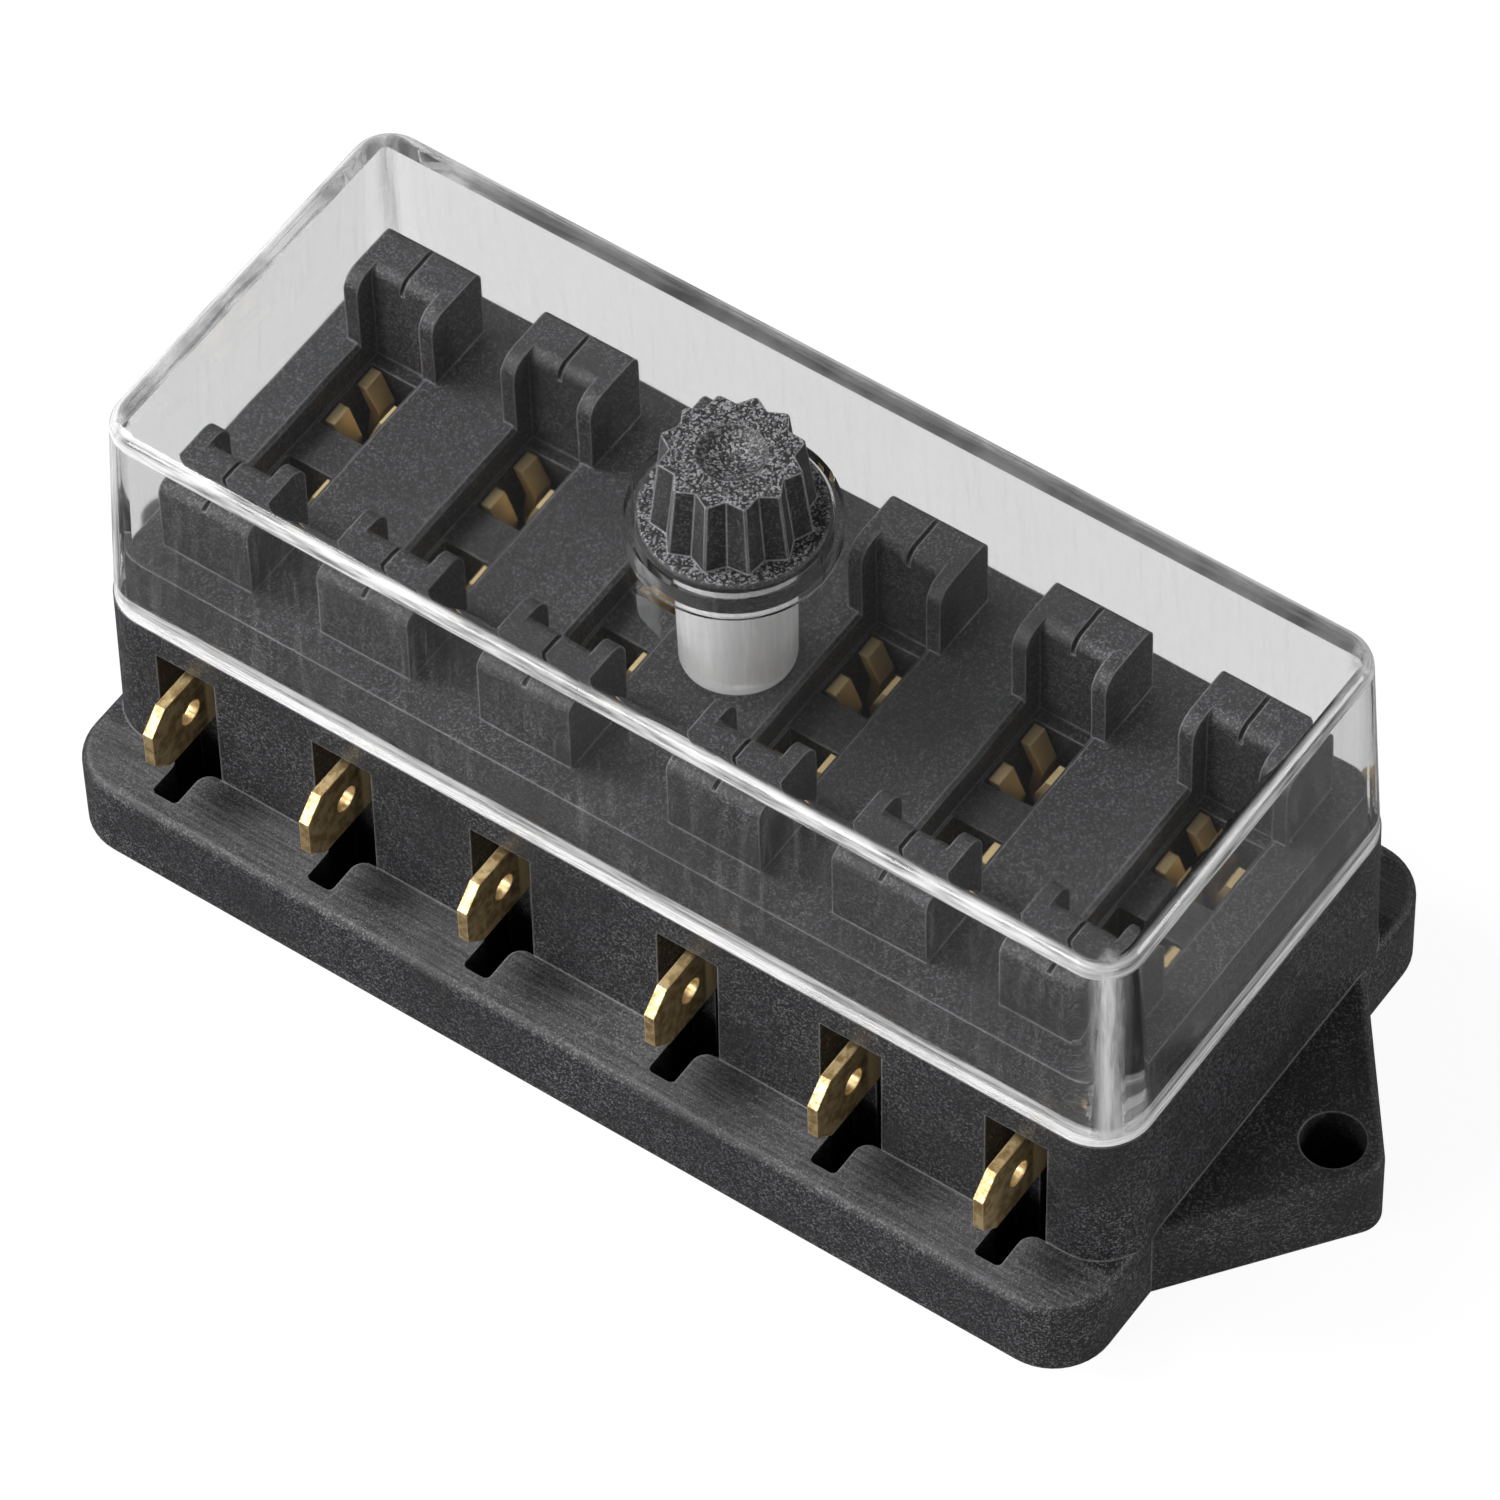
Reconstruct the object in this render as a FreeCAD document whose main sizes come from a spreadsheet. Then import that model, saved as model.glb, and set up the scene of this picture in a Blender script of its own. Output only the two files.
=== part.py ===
import FreeCAD, Part
import os
import re
import Sketcher
from FreeCAD import Placement, Rotation, Vector

# A fuse box with two rows of blade terminals under a clear cover that one knob holds down.
# Millimetres. X runs along the rows, Y from front to back, Z up. The origin is the centre
# of the bottom face.

# Driving sizes
SIZES = [
    # Layout of the six fuse seats
    ("slot_pitch", 13.22, "from one fuse seat to the next"),
    ("middle_extra", 2.16, "added between the two middle seats, for the cover's post"),
    ("tower_width", 7.48, "tower along X"),
    ("cheek", 1.14, "side wall of a tower, beside the fuse"),
    ("cheek_reach", 1.72, "how far the side walls stand in front of the tower's wall"),
    ("seat_length", 17.98, "fuse seat from tower wall to tower wall"),
    ("tower_wall", 4.01, "thick outer wall of a tower"),
    ("tower_rise", 6.48, "tower above the deck"),
    ("tower_round", 0.9, "radius of a tower's outer top edge"),
    ("cheek_round", 1.5, "radius of the side walls' top edge, over the seat"),
    ("recess_round", 1.0, "radius that leads the fuse in"),
    ("slit_width", 0.32, "mould slit in a tower's top"),
    ("slit_depth", 0.4, "mould slit in a tower's top"),
    ("seat_depth", 2.6, "floor of the fuse seat below the deck"),
    ("seat_bevel", 0.3, "bevel round the seat at the deck"),
    ("end_margin", 2.18, "deck beyond the last tower"),
    ("side_margin", 2.38, "deck in front of a tower"),
    # Base moulding
    ("flange_height", 6.74, "thickness of the foot flange"),
    ("flange_ledge", 5.2, "flange in front of the wall"),
    ("flange_corner", 4.5, "corner radius of the flange in plan"),
    ("flange_round", 0.7, "radius of the flange's top edge"),
    ("wall_lean", 0.2, "how far each base wall leans in up to the joint"),
    ("body_corner", 4.0, "upright corner radius of the base and cover"),
    ("window_width", 4.92, "opening round a tab"),
    ("window_depth", 3.8, "opening from the wall's face inwards"),
    ("window_room", 0.94, "opening above a tab"),
    ("window_roof", 2.38, "base wall above an opening"),
    ("deck_rise", 5.16, "deck above the joint"),
    ("notch_width", 2.1, "slot in the flange below a tab"),
    ("notch_end", 1.75, "flange left in front of that slot"),
    ("notch_corner", 0.4, "corner radius of that slot"),
    ("notch_flare", 1.1, "radius where that slot opens into the opening round the tab"),
    # Fixing ears
    ("fix_reach", 5.8, "fixing hole beyond the end wall"),
    ("fix_hole", 4.6, "fixing hole diameter"),
    ("ear_nose", 4.3, "sharp corner of the ear beyond the hole's centre"),
    ("ear_root", 26.4, "width of the ear at the end wall"),
    ("ear_round", 2.0, "radius of the ear's nose"),
    # Terminals
    ("sheet", 0.8, "thickness of the terminal sheet"),
    ("tab_lift", 3.3, "tab above the flange"),
    ("tab_width", 6.3, "width of the blade tab"),
    ("tab_reach", 4.35, "tab in front of the wall"),
    ("tab_point", 1.6, "bevel of the tab's corners"),
    ("tab_hole", 2.0, "hole in the tab"),
    ("tab_hole_in", 4.2, "that hole from the tab's end"),
    ("blade_pitch", 9.7, "from one blade of a fuse to the other"),
    ("finger_width", 1.76, "one spring finger"),
    ("finger_gap", 0.14, "between two fingers"),
    ("finger_length", 8.4, "free length of a finger"),
    ("finger_bow", 1.0, "how far a finger bows out below its grip"),
    ("bow_height", 3.8, "widest place of that bow above the finger's foot"),
    ("tip_height", 0.1, "finger's tip above the floor of the fuse seat"),
    ("grip_gap", 0.5, "between the fingers where they grip, with no fuse in"),
    ("finger_flare", 1.0, "how far a finger's tip flares out"),
    ("flare_rise", 2.2, "height of that flare"),
    ("bend_round", 0.45, "radius of a finger's bends"),
    ("carrier_height", 6.0, "flat foot below the fingers"),
    ("clip_room", 0.3, "round the fingers in their chamber"),
    ("slot_play", 0.1, "round a terminal's blade in its slot"),
    # Cover
    ("cover_wall", 1.5, "side wall"),
    ("cover_roof", 1.75, "top plate"),
    ("cover_fit", 0.18, "between the cover's wall and the deck"),
    ("joint_gap", 0.05, "between the cover's lower edge and the base"),
    ("hollow_corner", 1.5, "upright corner radius inside the cover, at the joint"),
    ("cover_lean", 1.0, "how far each cover wall leans in up to the top"),
    ("cover_round", 1.2, "radius of the top edge"),
    ("head_room", 5.33, "from a tower to the top plate"),
    ("post_top", 8.4, "diameter of the post under the top plate"),
    ("post_taper", 0.3, "how much thinner the post is at its end"),
    ("post_gap", 0.4, "from the post's end to the deck"),
    ("collar_wall", 0.55, "raised ring round the knob"),
    ("collar_play", 0.2, "between that ring and the knob"),
    ("collar_height", 2.2, "height of that ring"),
    # Knob, screw and insert
    ("knob_gap", 0.12, "from the top plate to the knob"),
    ("knob_foot", 13.1, "diameter of the knob's foot"),
    ("foot_height", 2.5, "height of the knob's foot"),
    ("grip_foot", 11.2, "diameter across the grip's points at the foot"),
    ("grip_top", 9.8, "diameter across the grip's points at the top"),
    ("grip_height", 5.9, "height of the fluted grip"),
    ("flutes", 12, "flutes round the grip"),
    ("flute_depth", 0.77, "depth of a flute below the points"),
    ("flute_land", 0.24, "width of a point between two flutes"),
    ("dish_width", 4.8, "hollow in the knob's top"),
    ("dish_depth", 0.7, "hollow in the knob's top"),
    ("knob_round", 0.3, "radius of the foot's edge"),
    ("grip_round", 0.15, "radius of the grip's top edge"),
    ("screw_width", 4.0, "screw diameter"),
    ("screw_play", 0.2, "round the screw in the post and the insert"),
    ("screw_seat", 4.0, "length of screw held in the knob"),
    ("screw_reach", 7.0, "screw below the deck"),
    ("screw_point", 0.6, "bevel at the screw's end"),
    ("insert_width", 6.2, "diameter of the threaded insert"),
    ("insert_length", 8.0, "length of the threaded insert"),
    ("insert_groove", 0.5, "depth of the insert's anchoring groove"),
]

# Sizes that follow from the driving ones
DERIVED = [
    ("first_slot", "(slot_pitch + middle_extra) / 2"),
    ("seat_width", "tower_width - 2 * cheek"),
    ("tower_in", "seat_length / 2 - cheek_reach"),
    ("tower_out", "seat_length / 2 + tower_wall"),
    ("deck_half_x", "first_slot + 2 * slot_pitch + tower_width / 2 + end_margin"),
    ("deck_half_y", "tower_out + side_margin"),
    ("cover_slope", "cover_lean / (deck_rise + tower_rise + head_room + cover_roof)"),
    ("deck_foot_x", "deck_half_x + deck_rise * cover_slope"),
    ("deck_foot_y", "deck_half_y + deck_rise * cover_slope"),
    ("joint_half_x", "deck_foot_x + cover_fit + cover_wall"),
    ("joint_half_y", "deck_foot_y + cover_fit + cover_wall"),
    ("foot_half_x", "joint_half_x + wall_lean"),
    ("foot_half_y", "joint_half_y + wall_lean"),
    ("flange_half_y", "foot_half_y + flange_ledge"),
    ("tab_low", "flange_height + tab_lift"),
    ("tab_high", "tab_low + tab_width"),
    ("window_top", "tab_high + window_room"),
    ("base_height", "window_top + window_roof"),
    ("cover_low", "base_height + joint_gap"),
    ("deck_height", "base_height + deck_rise"),
    ("seat_floor", "deck_height - seat_depth"),
    ("tower_top", "deck_height + tower_rise"),
    ("window_in", "foot_half_y - window_depth"),
    ("fix_x", "foot_half_x + fix_reach"),
    ("ear_tip", "fix_x + ear_nose"),
    ("clip_width", "3 * finger_width + 2 * finger_gap"),
    ("clip_in", "(blade_pitch - clip_width) / 2"),
    ("clip_out", "(blade_pitch + clip_width) / 2"),
    ("chamber_in", "clip_in - clip_room"),
    ("chamber_out", "clip_out + clip_room"),
    ("chamber_width", "grip_gap + 2 * (sheet + finger_flare + clip_room)"),
    ("finger_foot", "seat_floor - finger_length"),
    ("carrier_low", "finger_foot - carrier_height"),
    ("roof_under", "tower_top + head_room"),
    ("cover_top", "roof_under + cover_roof"),
    ("inner_half_x", "joint_half_x - cover_wall"),
    ("inner_half_y", "joint_half_y - cover_wall"),
    ("post_end", "deck_height + post_gap"),
    ("screw_bore", "screw_width / 2 + screw_play"),
    ("collar_in", "knob_foot / 2 + collar_play"),
    ("collar_out", "collar_in + collar_wall"),
    ("knob_low", "cover_top + knob_gap"),
    ("grip_low", "knob_low + foot_height"),
    ("knob_high", "grip_low + grip_height"),
    ("screw_top", "knob_low + screw_seat"),
    ("screw_low", "deck_height - screw_reach"),
    ("insert_low", "deck_height - insert_length"),
    ("base_angle", "atan(wall_lean / (base_height - flange_height))"),
    ("cover_angle", "atan(cover_slope)"),
]

OVER = "1"  # how far a cutting profile runs past what it cuts
BITE = "0.1"  # how far a cut overlaps the space that another cut has opened
PAST_RIM = "1.5"  # a flute's two sides, as a share of their length on the grip

NAMES = [row[0] for row in SIZES] + [row[0] for row in DERIVED]
WORD = re.compile(r"\b(" + "|".join(NAMES) + r")\b")


def cells(text, prefix="Sizes."):
    """Write the sheet's name before each size in an expression."""
    return WORD.sub(lambda found: prefix + found.group(1), text)


def fill_sheet(doc):
    """Put every size in the sheet, each under its own name."""
    sheet = doc.addObject("Spreadsheet::Sheet", "Sizes")
    for row, (name, value, note) in enumerate(SIZES, start=1):
        sheet.set(f"A{row}", name)
        sheet.set(f"B{row}", str(value))
        sheet.set(f"C{row}", note)
        sheet.setAlias(f"B{row}", name)
    for row, (name, formula) in enumerate(DERIVED, start=len(SIZES) + 1):
        sheet.set(f"A{row}", name)
        sheet.set(f"B{row}", "=" + formula)
        sheet.setAlias(f"B{row}", name)
    doc.recompute()
    return sheet


def size(text):
    """The value of an expression in the sheet's names."""
    return float(SHEET.evalExpression(cells(text)))


# Sketches


def origin_part(body, role):
    """One of a body's own origin planes or axes."""
    return next(item for item in body.Origin.OriginFeatures if item.Role == role)


def new_sketch(body, name, role, level="0"):
    """A sketch on an origin plane, moved along the plane's normal."""
    sketch = body.newObject("Sketcher::SketchObject", name)
    sketch.AttachmentSupport = [(origin_part(body, role), "")]
    sketch.MapMode = "FlatFace"
    sketch.setExpression("AttachmentOffset.Base.z", cells(level))
    return sketch


def bind(sketch, kind, *places, expression):
    """Add one measured constraint and tie it to an expression."""
    index = sketch.addConstraint(Sketcher.Constraint(kind, *places, size(expression)))
    sketch.setExpression(f"Constraints[{index}]", cells(expression))


def polygon(sketch, corners):
    """A closed outline of straight lines through corners given as expressions."""
    first = sketch.GeometryCount
    count = len(corners)
    points = [Vector(size(across), size(up), 0) for across, up in corners]
    for index in range(count):
        sketch.addGeometry(Part.LineSegment(points[index], points[(index + 1) % count]))
    for index in range(count):
        follower = first + (index + 1) % count
        sketch.addConstraint(Sketcher.Constraint("Coincident", first + index, 2, follower, 1))
    for index, (across, up) in enumerate(corners):
        bind(sketch, "DistanceX", -1, 1, first + index, 1, expression=across)
        bind(sketch, "DistanceY", -1, 1, first + index, 1, expression=up)


def rectangle(sketch, left, right, low, high):
    """A rectangle between four expressions."""
    polygon(sketch, [(left, low), (right, low), (right, high), (left, high)])


def circle(sketch, radius, across="0", up="0"):
    """A circle about a point given as expressions."""
    centre = Vector(size(across), size(up), 0)
    index = sketch.addGeometry(Part.Circle(centre, Vector(0, 0, 1), size(radius)))
    bind(sketch, "Radius", index, expression=radius)
    bind(sketch, "DistanceX", -1, 1, index, 3, expression=across)
    bind(sketch, "DistanceY", -1, 1, index, 3, expression=up)


def stepped(sketch, walls, rounds):
    """A closed outline of upright and level lines, with some corners rounded.

    walls gives each line's place in turn, starting with an upright one. rounds gives the
    radius at the corner where the line of that number ends.
    """
    count = len(walls)
    places = [size(wall) for wall in walls]
    radii = {number: size(radius) for number, radius in rounds.items()}

    def corner(number):
        before, after = places[number % count], places[(number + 1) % count]
        return Vector(before, after, 0) if number % 2 == 0 else Vector(after, before, 0)

    corners = [corner(number) for number in range(count)]
    lines = []
    for number in range(count):
        start, end = corners[number - 1], corners[number]
        along = (end - start).normalize()
        start = start + along * radii.get((number - 1) % count, 0)
        end = end - along * radii.get(number, 0)
        lines.append(sketch.addGeometry(Part.LineSegment(start, end)))
        kind = "Vertical" if number % 2 == 0 else "Horizontal"
        sketch.addConstraint(Sketcher.Constraint(kind, lines[number]))
    for number in range(count):
        line, follower = lines[number], lines[(number + 1) % count]
        if number not in rounds:
            sketch.addConstraint(Sketcher.Constraint("Coincident", line, 2, follower, 1))
            continue
        start, end = sketch.Geometry[line].EndPoint, sketch.Geometry[follower].StartPoint
        middle_way = (end - start) * 0.5
        centre = start + end - corners[number]
        outwards = (corners[number] - centre).normalize()
        middle = centre + outwards * radii[number]
        left_turn = middle_way.cross(outwards).z < 0
        if left_turn:
            arc = sketch.addGeometry(Part.Arc(start, middle, end))
        else:
            arc = sketch.addGeometry(Part.Arc(end, middle, start))
        entry, leave = (1, 2) if left_turn else (2, 1)
        sketch.addConstraint(Sketcher.Constraint("Tangent", line, 2, arc, entry))
        sketch.addConstraint(Sketcher.Constraint("Tangent", arc, leave, follower, 1))
        bind(sketch, "Radius", arc, expression=rounds[number])
    for number, wall in enumerate(walls):
        kind = "DistanceX" if number % 2 == 0 else "DistanceY"
        bind(sketch, kind, -1, 1, lines[number], 1, expression=wall)


def rounded_plan(body, name, level, half_x, half_y, radius):
    """A rounded rectangle about the centre, at a level."""
    sketch = new_sketch(body, name, "XY_Plane", level)
    walls = [f"{half_x}", f"{half_y}", f"-({half_x})", f"-({half_y})"]
    stepped(sketch, walls, {number: radius for number in range(4)})
    return sketch


# Features


def pad(sketch, length, both_ways=False, lean=None):
    """Thicken a sketch along its normal or to both sides, its walls leaning in by an angle."""
    feature = sketch.getParentGeoFeatureGroup().newObject("PartDesign::Pad", sketch.Name + "_pad")
    feature.Profile = sketch
    feature.setExpression("Length", cells(length))
    feature.SideType = "Symmetric" if both_ways else "One side"
    if lean:
        feature.setExpression("TaperAngle", cells(f"-({lean})"))
    sketch.Document.recompute()
    return feature


def pocket(sketch, length, upwards=False, lean=None):
    """Cut a sketch to both sides of its plane, or upwards from it with leaning walls."""
    body = sketch.getParentGeoFeatureGroup()
    before = body.Shape.Volume
    feature = body.newObject("PartDesign::Pocket", sketch.Name + "_cut")
    feature.Profile = sketch
    feature.setExpression("Length", cells(length))
    feature.Reversed = upwards
    feature.SideType = "One side" if upwards else "Symmetric"
    if lean:
        feature.setExpression("TaperAngle", cells(f"-({lean})"))
    sketch.Document.recompute()
    if body.Shape.Volume > before - 1e-6:
        raise RuntimeError(f"{feature.Name} removes nothing")
    return feature


def loft(body, kind, name, low, high):
    """Join two outlines by a loft that adds or cuts."""
    feature = body.newObject(f"PartDesign::{kind}Loft", name)
    feature.Profile = low
    feature.Sections = [high]
    feature.Ruled = True
    body.Document.recompute()
    return feature


def revolve(sketch, kind="Revolution"):
    """Turn a sketch about the upright axis."""
    body = sketch.getParentGeoFeatureGroup()
    feature = body.newObject(f"PartDesign::{kind}", sketch.Name + "_turn")
    feature.Profile = sketch
    feature.ReferenceAxis = (origin_part(body, "Z_Axis"), [""])
    feature.Angle = 360
    body.Document.recompute()
    return feature


def fillet(body, name, radius, wanted):
    """Round the edges of the body's tip that a test picks."""
    base = body.Tip
    names = [f"Edge{number}" for number, edge in enumerate(base.Shape.Edges, 1) if wanted(edge)]
    feature = body.newObject("PartDesign::Fillet", name)
    feature.Base = (base, names)
    feature.setExpression("Radius", cells(radius))
    body.Document.recompute()
    return feature


def lies_at(edge, **levels):
    """Whether an edge lies wholly at the given x, y or z."""
    box = edge.BoundBox
    spans = {"x": (box.XMin, box.XMax), "y": (box.YMin, box.YMax), "z": (box.ZMin, box.ZMax)}
    return all(abs(end - level) < 1e-4 for axis, level in levels.items() for end in spans[axis])


# Base moulding


def base_plan(body):
    """Foot flange with the two fixing ears, its top edge rounded."""
    plan = rounded_plan(body, "flange_plan", "0", "foot_half_x", "flange_half_y", "flange_corner")
    pad(plan, "flange_height")
    ears = new_sketch(body, "ear_plan", "XY_Plane")
    corners = [
        ("ear_tip", "0"),
        ("foot_half_x", "ear_root / 2"),
        ("-foot_half_x", "ear_root / 2"),
        ("-ear_tip", "0"),
        ("-foot_half_x", "-ear_root / 2"),
        ("foot_half_x", "-ear_root / 2"),
    ]
    polygon(ears, corners)
    pad(ears, "flange_height")
    tip = size("ear_tip")
    fillet(body, "ear_nose_round", "ear_round",
           lambda edge: lies_at(edge, x=tip, y=0) or lies_at(edge, x=-tip, y=0))
    top = size("flange_height")
    fillet(body, "flange_edge_round", "flange_round", lambda edge: lies_at(edge, z=top))


def base_walls(body):
    """Walls up to the joint with the cover, and the deck that stands inside it."""
    foot = rounded_plan(body, "wall_foot", "0", "foot_half_x", "foot_half_y", "body_corner")
    pad(foot, "flange_height")
    wall = rounded_plan(body, "wall_plan", "flange_height", "foot_half_x", "foot_half_y",
                        "body_corner")
    pad(wall, "base_height - flange_height", lean="base_angle")
    deck = rounded_plan(body, "deck_plan", "base_height", "deck_foot_x", "deck_foot_y",
                        "body_corner - cover_wall - cover_fit")
    pad(deck, "deck_rise", lean="cover_angle")


def towers(body):
    """The front and back towers of one fuse seat, side walls and all."""
    sketch = new_sketch(body, "tower_side", "YZ_Plane", "first_slot")
    for sign in ("", "-"):
        walls = [f"{sign}tower_out", "tower_top", f"{sign}tower_in", f"deck_height - {OVER}"]
        stepped(sketch, walls, {0: "tower_round", 1: "cheek_round"})
    return pad(sketch, "tower_width", both_ways=True)


def fuse_seat(body):
    """The slot that holds a fuse, from tower wall to tower wall, with rounded lead-ins."""
    sketch = new_sketch(body, "seat_side", "YZ_Plane", "first_slot")
    wall = "seat_length / 2"
    past = f"({wall} + recess_round + {OVER})"
    walls = [wall, "tower_top", past, f"tower_top + {OVER}",
             f"-{past}", "tower_top", f"-({wall})", "seat_floor"]
    stepped(sketch, walls, {0: "recess_round", 5: "recess_round"})
    return pocket(sketch, "seat_width")


def seat_edges(body):
    """The bevel that breaks the seat's two long edges at the deck."""
    sketch = new_sketch(body, "bevel_section", "XZ_Plane")
    half = "(seat_width / 2)"
    for sign in ("", "-"):
        corners = [
            (f"first_slot {sign or '+'} ({half} - {BITE})", f"deck_height - seat_bevel - {BITE}"),
            (f"first_slot {sign or '+'} ({half} + seat_bevel)", "deck_height"),
            (f"first_slot {sign or '+'} ({half} - {BITE})", "deck_height"),
        ]
        polygon(sketch, corners)
    return pocket(sketch, "2 * tower_in")


def mould_slits(body):
    """Fine slits from front to back in the tops of a seat's two towers, and over their lips."""
    sketch = new_sketch(body, "slit_side", "YZ_Plane", "first_slot")
    for sign in ("", "-"):
        low, high = f"{sign}seat_length / 2", f"{sign}(tower_out + {OVER})"
        polygon(sketch, [
            (low, "tower_top - recess_round - slit_depth"),
            (f"{sign}(seat_length / 2 + recess_round)", "tower_top - slit_depth"),
            (high, "tower_top - slit_depth"),
            (high, f"tower_top + {OVER}"),
            (low, f"tower_top + {OVER}"),
        ])
    return pocket(sketch, "slit_width")


def clip_chambers(body):
    """The chambers for the fingers, open at the bottom where the terminals go in."""
    sketch = new_sketch(body, "chamber_plan", "XY_Plane")
    half = "chamber_width / 2"
    for low, high in (("chamber_in", "chamber_out"), ("-chamber_out", "-chamber_in")):
        rectangle(sketch, f"first_slot - {half}", f"first_slot + {half}", low, high)
    return pocket(sketch, f"seat_floor + {BITE}", upwards=True)


def blade_slots(body):
    """Narrow slots from the chambers to the openings, for the flat of each terminal."""
    sketch = new_sketch(body, "blade_plan", "XY_Plane")
    half = "(sheet / 2 + slot_play)"
    sides = (("chamber_out", "window_in"), ("-window_in", "-chamber_out"))
    for low, high in sides:
        rectangle(sketch, f"first_slot - {half}", f"first_slot + {half}", low, high)
    return pocket(sketch, "tab_high", upwards=True)


def tab_windows(body):
    """Openings in both long walls, each round one tab."""
    sketch = new_sketch(body, "window_side", "YZ_Plane", "first_slot")
    for low, high in (("window_in", f"foot_half_y + {OVER}"),
                      (f"-foot_half_y - {OVER}", "-window_in")):
        rectangle(sketch, low, high, "flange_height", "window_top")
    return pocket(sketch, "window_width")


def flange_notches(body):
    """Cuts through the flange: the floor of each opening, and a slot in front of it."""
    sketch = new_sketch(body, "notch_plan", "XY_Plane")
    slot, jamb = "notch_width / 2", "window_width / 2"
    rounds = {0: "notch_corner", 1: "notch_corner", 2: "notch_flare", 7: "notch_flare"}
    for sign in ("", "-"):
        outer = f"{sign}(flange_half_y - notch_end)"
        wall, inner = f"{sign}foot_half_y", f"{sign}window_in"
        stepped(sketch, [
            f"first_slot + {slot}", outer, f"first_slot - {slot}", wall,
            f"first_slot - {jamb}", inner, f"first_slot + {jamb}", wall,
        ], rounds)
    return pocket(sketch, "flange_height", upwards=True)


def repeat_along(body, features):
    """Repeat one seat's features at three pitches, and mirror them to the other end."""
    seats = body.newObject("PartDesign::MultiTransform", "six_seats")
    seats.Originals = features
    row = body.Document.addObject("PartDesign::LinearPattern", "seat_row")
    row.Direction = (origin_part(body, "X_Axis"), [""])
    row.Mode = "Spacing"
    row.setExpression("Offset", cells("slot_pitch"))
    row.Occurrences = 3
    ends = body.Document.addObject("PartDesign::Mirrored", "other_end")
    ends.MirrorPlane = (origin_part(body, "YZ_Plane"), [""])
    seats.Transformations = [row, ends]
    body.Tip = seats
    body.Document.recompute()


def insert_hole(body):
    """Stepped blind hole in the deck that the threaded insert fills."""
    sketch = new_sketch(body, "insert_hole_side", "XZ_Plane")
    insert_profile(sketch, "0")
    revolve(sketch, "Groove")


def fixing_holes(body):
    """One hole through each ear."""
    sketch = new_sketch(body, "fixing_plan", "XY_Plane")
    for sign in ("", "-"):
        circle(sketch, "fix_hole / 2", across=f"{sign}fix_x")
    pocket(sketch, "flange_height", upwards=True)


def base_moulding(doc):
    body = doc.addObject("PartDesign::Body", "base_moulding")
    base_plan(body)
    base_walls(body)
    station = [
        towers(body),
        fuse_seat(body),
        seat_edges(body),
        mould_slits(body),
        clip_chambers(body),
        blade_slots(body),
        tab_windows(body),
        flange_notches(body),
    ]
    repeat_along(body, station)
    insert_hole(body)
    fixing_holes(body)
    return body


# Terminals


def finger_section(sketch, side):
    """One finger seen along the row of fingers: out, in to the grip, and out at the tip."""
    half = "sheet / 2"
    bends = [
        ("0", "finger_foot"),
        (f"{side} * finger_bow", "finger_foot + bow_height"),
        (f"{side} * (grip_gap / 2 + {half})", "seat_floor - flare_rise"),
        (f"{side} * (grip_gap / 2 + {half} + finger_flare)", "seat_floor + tip_height"),
    ]
    right = [(f"{across} + {half}", up) for across, up in bends]
    left = [(f"{across} - {half}", up) for across, up in reversed(bends)]
    polygon(sketch, right + left)


def terminal(doc, name, slot_x, turned):
    """A stamped terminal: flat blank, tab with a hole, and three fingers bent in turn."""
    body = doc.addObject("PartDesign::Body", name)
    blank = new_sketch(body, f"{name}_blank", "YZ_Plane")
    end = "(foot_half_y + tab_reach)"
    corners = [
        ("clip_in", "carrier_low"),
        ("clip_out", "carrier_low"),
        ("clip_out", "tab_low"),
        (f"{end} - tab_point", "tab_low"),
        (end, "tab_low + tab_point"),
        (end, "tab_high - tab_point"),
        (f"{end} - tab_point", "tab_high"),
        ("chamber_out + slot_play", "tab_high"),
        ("chamber_out + slot_play", "finger_foot"),
        ("clip_in", "finger_foot"),
    ]
    polygon(blank, corners)
    circle(blank, "tab_hole / 2", across=f"{end} - tab_hole_in", up="(tab_low + tab_high) / 2")
    pad(blank, "sheet", both_ways=True)
    for number, side in enumerate(("-1", "1", "-1")):
        outer = f"clip_in + {number + 1} * finger_width + {number} * finger_gap"
        finger = new_sketch(body, f"{name}_finger_{number + 1}", "XZ_Plane", f"-({outer})")
        finger_section(finger, side)
        pad(finger, "finger_width")
    low, high = size("finger_foot + 1"), size("seat_floor")
    near, far = size("clip_in - 0.01"), size("clip_out + 0.01")

    def is_bend(edge):
        box = edge.BoundBox
        across = box.XLength < 1e-6 and box.ZLength < 1e-6
        return across and low < box.ZMin < high and near < box.YMin and box.YMax < far

    fillet(body, f"{name}_bends", "bend_round", is_bend)
    turn = Rotation(Vector(0, 0, 1), 180 if turned else 0)
    body.Placement = Placement(Vector(0, 0, 0), turn)
    body.setExpression("Placement.Base.x", cells(slot_x))
    return body


def terminals(doc):
    """Six terminals to the back, and six turned to the front."""
    made = []
    for number in range(6):
        steps = number - 2.5
        extra = "middle_extra / 2" if steps > 0 else "-middle_extra / 2"
        slot_x = f"{steps} * slot_pitch + {extra}"
        for row, turned in (("front", True), ("back", False)):
            made.append(terminal(doc, f"terminal_{row}_{number + 1}", slot_x, turned))
    return made


# Cover


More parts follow.
